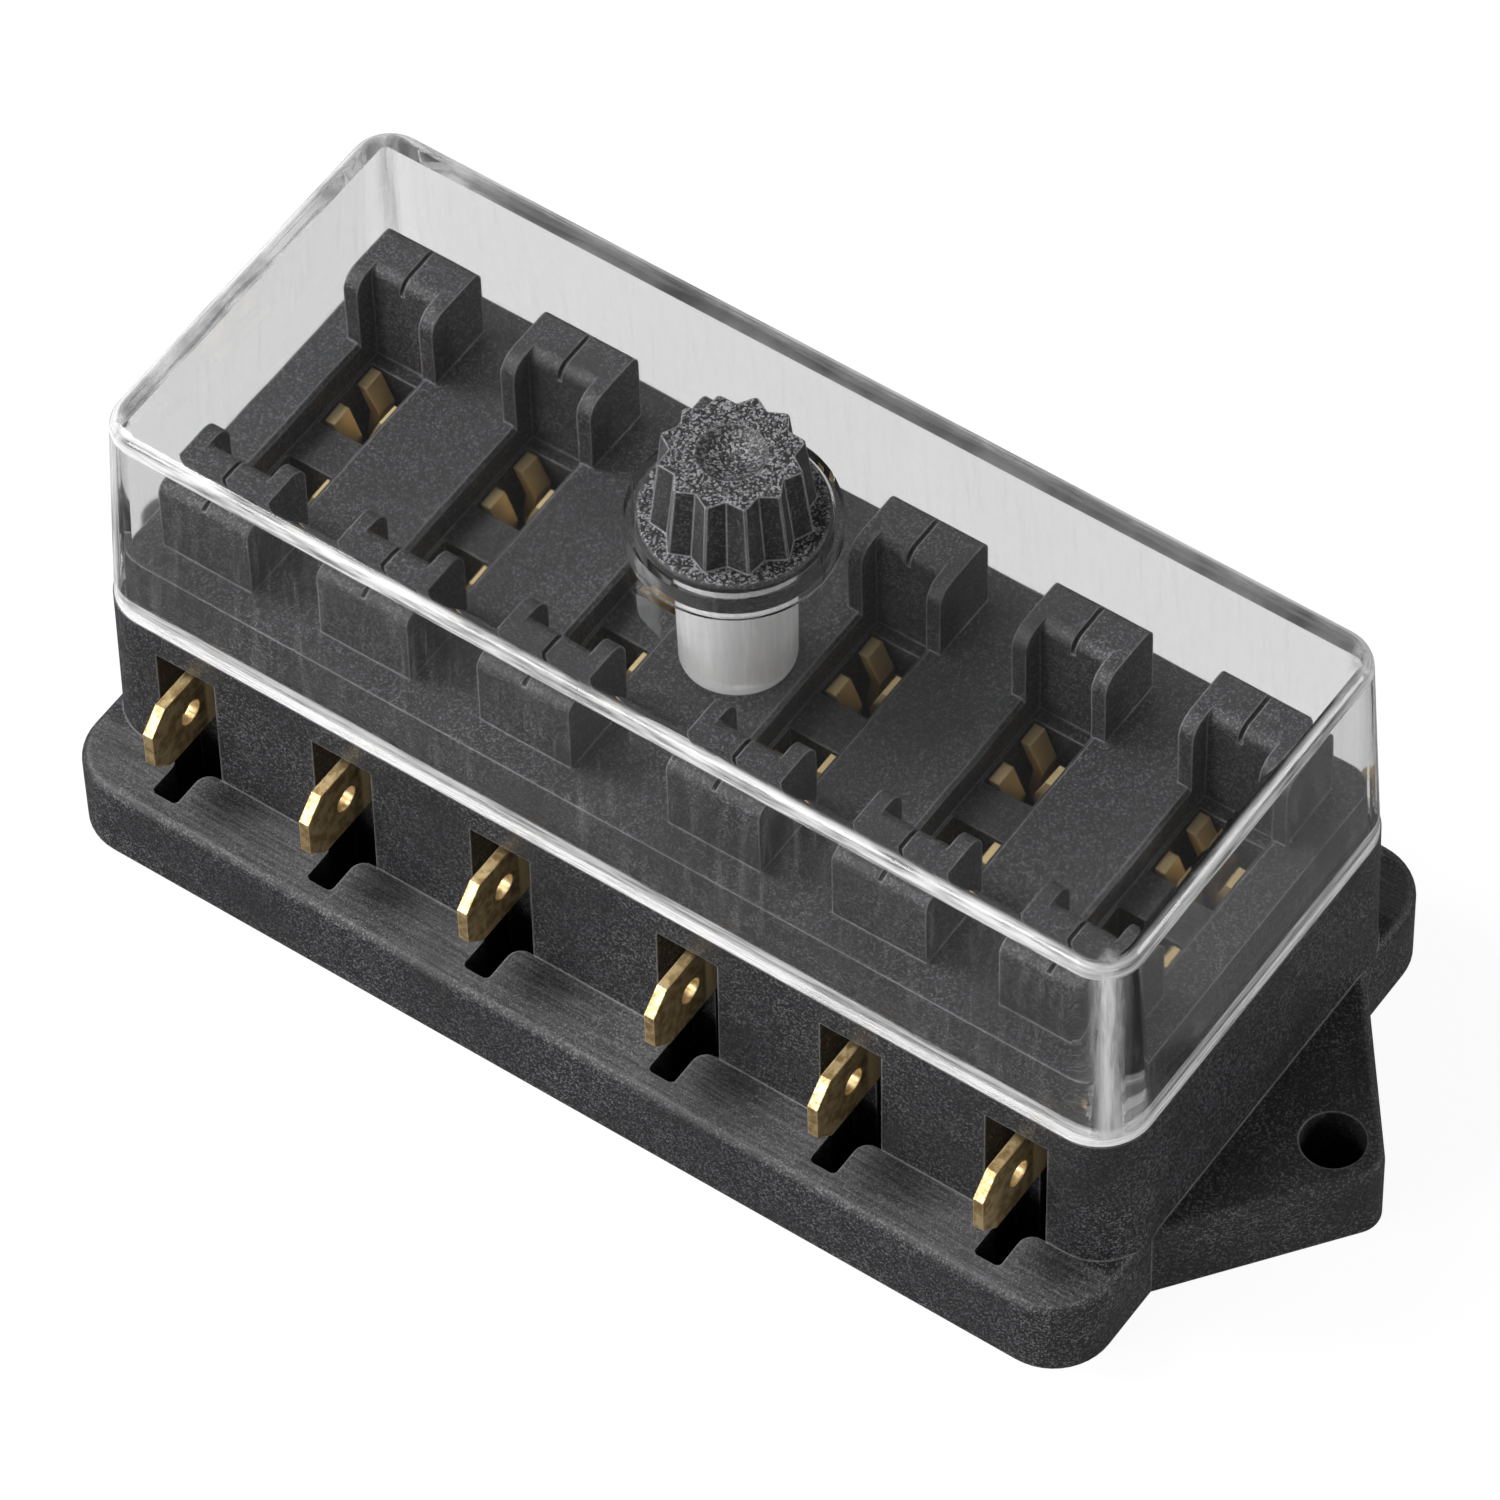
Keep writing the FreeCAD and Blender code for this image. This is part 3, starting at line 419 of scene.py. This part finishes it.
# %% [markdown]
# ## Brass and steel
#
# The terminals are stamped from rolled brass sheet. Rolling leaves faint lines along the
# strip and handling dulls it in patches. One flat colour would look like paint, so a
# stretched noise varies the roughness and another the colour. The edges get a painted
# highlight in a pale colour. Under the cover the brass has fewer stains, and it is painted
# paler and less metallic there: painted light for the dim space under the cover. The stud and
# the insert lie in the middle, so they get it too. The stud is steel with bright zinc.

# %% Worked metal
UNDER_COVER_REACH = 16.5  # millimetres from the middle: within this, under the cover, the brass is painted paler and has fewer stains
LINES_MM = 0.17
LINES_HEIGHT = 0.01  # millimetres
STAIN_MM = 0.9
# width of the painted highlight along the edges
EDGE_HIGHLIGHT_MM = 0.14
ROLLED_STRETCH = (1.0, 0.15, 1.0)  # long along Y
TURNED_STRETCH = (1.0, 1.0, 3.0)  # short along Z, as on a lathe


def worked_metal(name, colour, dull, highlight_colour, roughness, stretch, metallic=1.0):
    """Metal with fine lines, dull stains, a painted highlight on the edges and painted light
    under the cover.
    """
    material, tree = new_material(name)
    spot = place_mm(tree)
    drawn = add_node(tree, "Mapping", {"Vector": spot, "Scale": stretch})
    lines = add_node(tree, "TexNoise", {"Vector": drawn, "Scale": 1 / LINES_MM, "Detail": 3.0,
                                        "Roughness": 0.6})
    stain = add_node(tree, "TexNoise", {"Vector": spot, "Scale": 1 / STAIN_MM, "Detail": 4.0,
                                        "Roughness": 0.65})
    rounded, edge = rounded_edges(tree, EDGE_HIGHLIGHT_MM)

    aside = add_node(tree, "SeparateXYZ", (spot,)).outputs["Y"]
    aside = add_node(tree, "Math", (aside,), operation="ABSOLUTE")
    in_the_open = add_node(tree, "MapRange", (aside, UNDER_COVER_REACH, UNDER_COVER_REACH - 1.0, 1.0, 0.25),
                           **SMOOTH)
    stained = add_node(tree, "MapRange", (stain, 0.38, 0.62), **SMOOTH)
    stained = add_node(tree, "Math", (stained, in_the_open), operation="MULTIPLY")
    # Painted light: under the cover the metal is painted paler, towards the highlight colour.
    painted_light_under_cover = add_node(tree, "MapRange", (in_the_open, 0.8, 0.3, 0.0, 0.85), **SMOOTH)
    bright = add_node(tree, "Math", (edge, painted_light_under_cover), operation="MAXIMUM")
    for share, shade in ((stained, dull), (bright, highlight_colour)):
        mixed = add_node(tree, "Mix", {0: share, MIX_FIRST: colour, MIX_SECOND: shade},
                         data_type="RGBA")
        colour = mixed.outputs[MIX_RESULT]

    # Under the cover the metal is also made less metallic, so it looks paler: painted light.
    painted_light_diffuse = add_node(tree, "MapRange", (edge, 0.0, 1.0, 0.5, 0.85), **SMOOTH)
    painted_light_diffuse = add_node(tree, "Math", (painted_light_under_cover, painted_light_diffuse), operation="MULTIPLY")
    metal = add_node(tree, "Math", (metallic, painted_light_diffuse), operation="SUBTRACT")
    rough = add_node(tree, "MapRange", (lines, 0.3, 0.7, roughness - 0.08, roughness + 0.12),
                     **SMOOTH)
    bump = add_node(tree, "Bump", {"Height": lines, "Normal": rounded, "Strength": 0.5,
                                   "Distance": LINES_HEIGHT * MM})
    shader = add_node(tree, "BsdfPrincipled", {"Base Color": colour, "Roughness": rough,
                                               "Normal": bump, "Metallic": metal})
    add_node(tree, "OutputMaterial", {"Surface": shader})
    return material


# %% Brass, and steel with zinc
terminal_brass = worked_metal("rolled_brass", "#DCC391", "#A98B5C", "#FFE2A8", 0.38,
                              ROLLED_STRETCH, 0.75)
turned_brass = worked_metal("turned_brass", "#CFA95F", "#9C7A41", "#E8CF94", 0.32,
                            TURNED_STRETCH)
zinc_steel = worked_metal("zinc_plated_steel", "#C9C9C6", "#9E9E9B", "#E4E4E2", 0.3,
                          TURNED_STRETCH)
for name in terminal_names:
    dress(nodes[name], terminal_brass)
print("metal on", len(terminal_names), "terminals")

# %% [markdown]
# ## Threaded stud
#
# A steel stud is moulded into the knob, and its thread draws the cover down. A thread is one
# tooth's outline that climbs a pitch in each turn. It could be carved by a boolean, but the
# Screw modifier makes it directly: the outline is extruded from a single point, edge by
# edge, then swept and welded. Bisect cuts both ends flat and closes them.

# %% Selecting and cutting
CUT_WIDTH = MM / 1000  # the default would weld all that lies within 0.1 mm of a cut
SAME_LEVEL = 0.01 * MM


def select_where(obj, wanted):
    """Edit mode with only those vertices selected that wanted(place) accepts."""
    bpy.ops.object.mode_set(mode="OBJECT")
    for part in (*obj.data.polygons, *obj.data.edges):
        part.select = False
    for vertex in obj.data.vertices:
        vertex.select = bool(wanted(vertex.co))
    bpy.ops.object.mode_set(mode="EDIT")
    bpy.ops.mesh.select_mode(type="VERT")


def cut_level(height, **what_to_drop):
    """Cut all of the mesh in edit mode at one height. What is dropped leaves a closed cut."""
    bpy.ops.mesh.select_all(action="SELECT")
    bpy.ops.mesh.bisect(plane_co=(0.0, 0.0, height), plane_no=(0.0, 0.0, 1.0),
                        use_fill=bool(what_to_drop), threshold=CUT_WIDTH, **what_to_drop)


# %% A rod with a thread
THREAD_PITCH = 0.7  # millimetres, the usual coarse pitch on a diameter of 4 mm
THREAD_DEPTH = 0.4
TURN_STEPS = 24
START_BELOW = 1.5  # pitches under the lower cut, so that the thread is whole there
SPARE_TURNS = 3


def threaded_rod(name, low, high, radius):
    """A closed rod with a thread, between two heights in metres."""
    pitch = THREAD_PITCH * MM
    depth = THREAD_DEPTH * MM
    start = (radius - depth, 0.0, low - pitch * START_BELOW)
    bpy.ops.object.select_all(action="DESELECT")
    bpy.ops.mesh.primitive_plane_add(size=pitch, location=start)
    rod = bpy.context.active_object
    rod.name = name
    bpy.ops.object.transform_apply(location=True)
    bpy.ops.object.mode_set(mode="EDIT")
    bpy.ops.mesh.select_all(action="SELECT")
    bpy.ops.mesh.merge(type="CENTER")
    # Three flats of an eighth of the pitch and two flanks share one pitch between them.
    flat = pitch / 8
    flank = (pitch - 3 * flat) / 2
    for out, rise in ((0, flat), (depth, flank), (0, flat), (-depth, flank), (0, flat)):
        bpy.ops.mesh.extrude_region_move(TRANSFORM_OT_translate={"value": (out, 0.0, rise)})
    bpy.ops.object.mode_set(mode="OBJECT")
    sweep = rod.modifiers.new("thread", "SCREW")
    sweep.screw_offset = pitch
    sweep.steps = TURN_STEPS
    sweep.render_steps = TURN_STEPS
    sweep.iterations = int((high - low) / pitch) + SPARE_TURNS
    bpy.ops.object.modifier_apply(modifier="thread")
    bpy.ops.object.mode_set(mode="EDIT")
    bpy.ops.mesh.select_all(action="SELECT")
    bpy.ops.mesh.remove_doubles(threshold=pitch / 100)
    cut_level(low, clear_inner=True)
    cut_level(high, clear_outer=True)
    bpy.ops.mesh.select_all(action="SELECT")
    bpy.ops.mesh.normals_make_consistent(inside=False)
    return rod


# %% Finishing a piece
SMOOTH_ANGLE = 0.7  # radians, about 40 degrees


def finish_piece(piece, material, body, node):
    """Smooth shading, sharp at edges, the finish, and the piece's place in the frame."""
    bpy.ops.object.mode_set(mode="OBJECT")
    bpy.ops.object.select_all(action="DESELECT")
    piece.select_set(True)
    bpy.context.view_layer.objects.active = piece
    bpy.ops.object.shade_smooth_by_angle(angle=SMOOTH_ANGLE)
    dress(piece, material)
    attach(piece, body)
    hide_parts(node)
    print(piece.name, "has", len(piece.data.polygons), "faces")


# %% Stud in the knob
POINT_TAPER = 0.78  # how wide the stud's very end is, as a share of its thread there
stud_low, stud_high = map(Vector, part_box("knob_screw"))
stud = threaded_rod("threaded_stud", stud_low.z, stud_high.z, stud_high.x)
select_where(stud, lambda place: place.z < stud_low.z + SAME_LEVEL)
bpy.ops.transform.resize(value=(POINT_TAPER, POINT_TAPER, 1.0),
                         center_override=(0.0, 0.0, stud_low.z))
finish_piece(stud, zinc_steel, "knob", "knob_screw")

# %% [markdown]
# ## Threaded insert
#
# The stud runs into a brass insert that is moulded into the base. Such an insert is turned
# from bar: a cylinder with a groove round it, which the nylon grips, and a threaded hole. The
# groove is a loop between two cuts that is drawn inwards. The hole is a boolean with a rod
# like the stud, a little wider, so that the stud passes at any turn of the knob.

# %% Insert with its groove
GROOVE_DEPTH = 0.5
GROOVE_HALF = 0.7  # half of the groove's width
GROOVE_PLACE = 0.42  # share of the length below the groove's middle
INSERT_SIDES = 64
insert_low, insert_high = map(Vector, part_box("threaded_insert"))
insert_length = insert_high.z - insert_low.z
bpy.ops.object.select_all(action="DESELECT")
bpy.ops.mesh.primitive_cylinder_add(vertices=INSERT_SIDES, radius=insert_high.x,
                                    depth=insert_length,
                                    location=(0.0, 0.0, (insert_low.z + insert_high.z) / 2))
insert = bpy.context.active_object
insert.name = "brass_insert"
bpy.ops.object.transform_apply(location=True)
groove_middle = insert_low.z + insert_length * GROOVE_PLACE
bpy.ops.object.mode_set(mode="EDIT")
for step in (-1, 0, 1):
    cut_level(groove_middle + step * GROOVE_HALF * MM)
select_where(insert, lambda place: abs(place.z - groove_middle) < SAME_LEVEL)
narrow = 1 - GROOVE_DEPTH * MM / insert_high.x
bpy.ops.transform.resize(value=(narrow, narrow, 1.0), center_override=(0.0, 0.0, groove_middle))
bpy.ops.object.mode_set(mode="OBJECT")
print("groove", GROOVE_DEPTH, "mm deep")

# %% Threaded hole
BORE_ROOT = 2.45  # millimetres from the axis to the bottom of the thread in the hole
cutter = threaded_rod("thread_cutter", insert_low.z - MM, insert_high.z + MM, BORE_ROOT * MM)
bpy.ops.object.mode_set(mode="OBJECT")
bpy.context.view_layer.objects.active = insert
hole = insert.modifiers.new("hole", "BOOLEAN")
hole.operation = "DIFFERENCE"
hole.object = cutter
hole.solver = "EXACT"
bpy.ops.object.modifier_apply(modifier="hole")
bpy.data.objects.remove(cutter)
finish_piece(insert, turned_brass, "base", "threaded_insert")

# %% [markdown]
# ## Floor, backdrop and light
#
# The photograph has a plain white ground without a shadow. The floor is a pale plane that
# shows white to the camera, also through the clear cover, and looks dim in reflections, so
# that the black plastic stays black. Under the box it is painted black, a painted shadow, as
# no light gets there.
# A Light Path node tells such rays apart. It counts a ray's bounces, so the limits below are
# halves, which lie between two counts.

# %% What is seen with no bounce between
FIRST_BOUNCE = 0.5


def straight_seen(tree, ray):
    """One on what the camera sees directly or through clear plastic, with no bounce between."""
    clear = add_node(tree, "Math", (ray["Is Camera Ray"], ray["Is Transmission Ray"]),
                     operation="MAXIMUM")
    bounces = add_node(tree, "Math", (ray["Glossy Depth"], ray["Diffuse Depth"]),
                       operation="ADD")
    direct = add_node(tree, "Math", (bounces, FIRST_BOUNCE), operation="LESS_THAN")
    return add_node(tree, "Math", (clear, direct), operation="MULTIPLY")


# %% Floor, with a painted shadow under the box
FLOOR_SIZE = 6.0  # metres
BODY_INSET = Vector((1.0, 1.5))  # millimetres from the cover's end and the flange's front
EAR_INSET = 1.5  # millimetres from the ear's tip
EAR_HALF = 2.4  # half the width of the painted shadow under the ears, in millimetres
bpy.ops.object.select_all(action="DESELECT")
bpy.ops.mesh.primitive_plane_add(size=FLOOR_SIZE, location=(0.0, 0.0, 0.0))
floor = bpy.context.active_object
floor.name = "floor"
pale_floor, tree = new_material("pale_floor")
base_far = Vector(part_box("base_moulding")[1]) / MM
axes = add_node(tree, "SeparateXYZ", (place_mm(tree),))
along = add_node(tree, "Math", (axes.outputs["X"],), operation="ABSOLUTE")
aside = add_node(tree, "Math", (axes.outputs["Y"],), operation="ABSOLUTE")
patches = []
for half_length, half_width in ((cover_high.x - BODY_INSET.x, base_far.y - BODY_INSET.y),
                                (base_far.x - EAR_INSET, EAR_HALF)):
    within_length = add_node(tree, "Math", (along, half_length), operation="LESS_THAN")
    within_width = add_node(tree, "Math", (aside, half_width), operation="LESS_THAN")
    patches.append(add_node(tree, "Math", (within_length, within_width), operation="MULTIPLY"))
under_box = add_node(tree, "Math", patches, operation="MAXIMUM")
print("floor", FLOOR_SIZE, "m wide")

# %% Pale floor
WHITE_SHARE = 0.88  # of plain white over the lit floor, in what the camera sees
WHITE_GLOW = 1.06
MIRRORED_GLOW = 0.14
ray = add_node(tree, "LightPath").outputs
seen = add_node(tree, "Math", (straight_seen(tree, ray), WHITE_SHARE), operation="MULTIPLY")
mirrored = add_node(tree, "Math", (ray["Glossy Depth"], FIRST_BOUNCE), operation="GREATER_THAN")
ground = add_node(tree, "BsdfDiffuse", {"Color": "#F4F4F4"})
white = add_node(tree, "Emission", {"Strength": WHITE_GLOW})
dim = add_node(tree, "Emission", {"Strength": MIRRORED_GLOW})
# Painted shadow: the floor is near black under the box and the ears.
painted_shadow = add_node(tree, "BsdfDiffuse", {"Color": "#050505"})
for share, shader in ((seen, white), (mirrored, dim), (under_box, painted_shadow)):
    ground = add_node(tree, "MixShader", (share, ground, shader))
add_node(tree, "OutputMaterial", {"Surface": ground})
dress(floor, pale_floor)
print("floor white to the camera and", MIRRORED_GLOW, "in reflections")

# %% [markdown]
# Three soft lamps light the box: one high up, one in front and one at the side. The clear
# cover lets their light straight in. Rays bent by it don't see them, or they would light
# the inside twice.

# %% Lamps
LAMPS_AIM = Vector((0.0, 0.0, 0.02))  # metres: the middle of the box


def soft_lamp(name, at, wide, tall, watts):
    """A rectangular lamp that looks at the box."""
    data = bpy.data.lights.new(name, "AREA")
    data.shape = "RECTANGLE"
    data.size = wide
    data.size_y = tall
    data.energy = watts
    lamp = bpy.data.objects.new(name, data)
    bpy.context.scene.collection.objects.link(lamp)
    lamp.location = at
    lamp.visible_transmission = False
    lamp.rotation_euler = (LAMPS_AIM - Vector(at)).to_track_quat("-Z", "Y").to_euler()
    print(name, watts, "W")


soft_lamp("high_lamp", (-0.45, -0.15, 0.55), 0.30, 0.30, 4.0)
soft_lamp("front_lamp", (-0.33, -0.77, 0.45), 0.40, 0.25, 4.5)
soft_lamp("side_lamp", (0.75, 0.44, 0.33), 0.15, 0.35, 2.0)

# %% [markdown]
# The world gives the fill light. It is white to the camera. In reflections it is brightest
# near the horizon and dim overhead, as in a room with a dark ceiling. A ray that goes in
# through the cover, bounces off the deck and comes out again has passed four of the cover's
# faces. It finds the world brighter, because the photograph shows the deck under the cover
# paler than the base outside.

# %% World
THROUGH_COVER = 3.5  # passes through a face of the cover, between three and four
COVERED_GLOW = 0.95
HORIZON = 0.05  # upward share of a ray's direction
OVERHEAD = 0.5
HORIZON_GLOW = 0.6
OVERHEAD_GLOW = 0.12
world = bpy.data.worlds.new("studio")
bpy.context.scene.world = world
world.use_nodes = True
tree = world.node_tree
tree.nodes.clear()
ray = add_node(tree, "LightPath").outputs
way = add_node(tree, "TexCoord").outputs["Generated"]
rise = add_node(tree, "SeparateXYZ", (way,)).outputs["Z"]
outside = add_node(tree, "MapRange", (rise, HORIZON, OVERHEAD, HORIZON_GLOW, OVERHEAD_GLOW),
                   **SMOOTH)
covered = add_node(tree, "Math", (ray["Transmission Depth"], THROUGH_COVER),
                   operation="GREATER_THAN")
covered = add_node(tree, "Math", (covered, COVERED_GLOW), operation="MULTIPLY")
strength = add_node(tree, "Math", (outside, covered), operation="MAXIMUM")
fill = add_node(tree, "Background", {"Color": "#FFFFFF", "Strength": strength})
sky = add_node(tree, "Background", {"Color": "#FFFFFF", "Strength": 1.0})
mixed = add_node(tree, "MixShader", (straight_seen(tree, ray), fill, sky))
add_node(tree, "OutputWorld", {"Surface": mixed})
bpy.context.scene.view_settings.view_transform = "Standard"
print("world", HORIZON_GLOW, "at the horizon,", OVERHEAD_GLOW, "overhead")
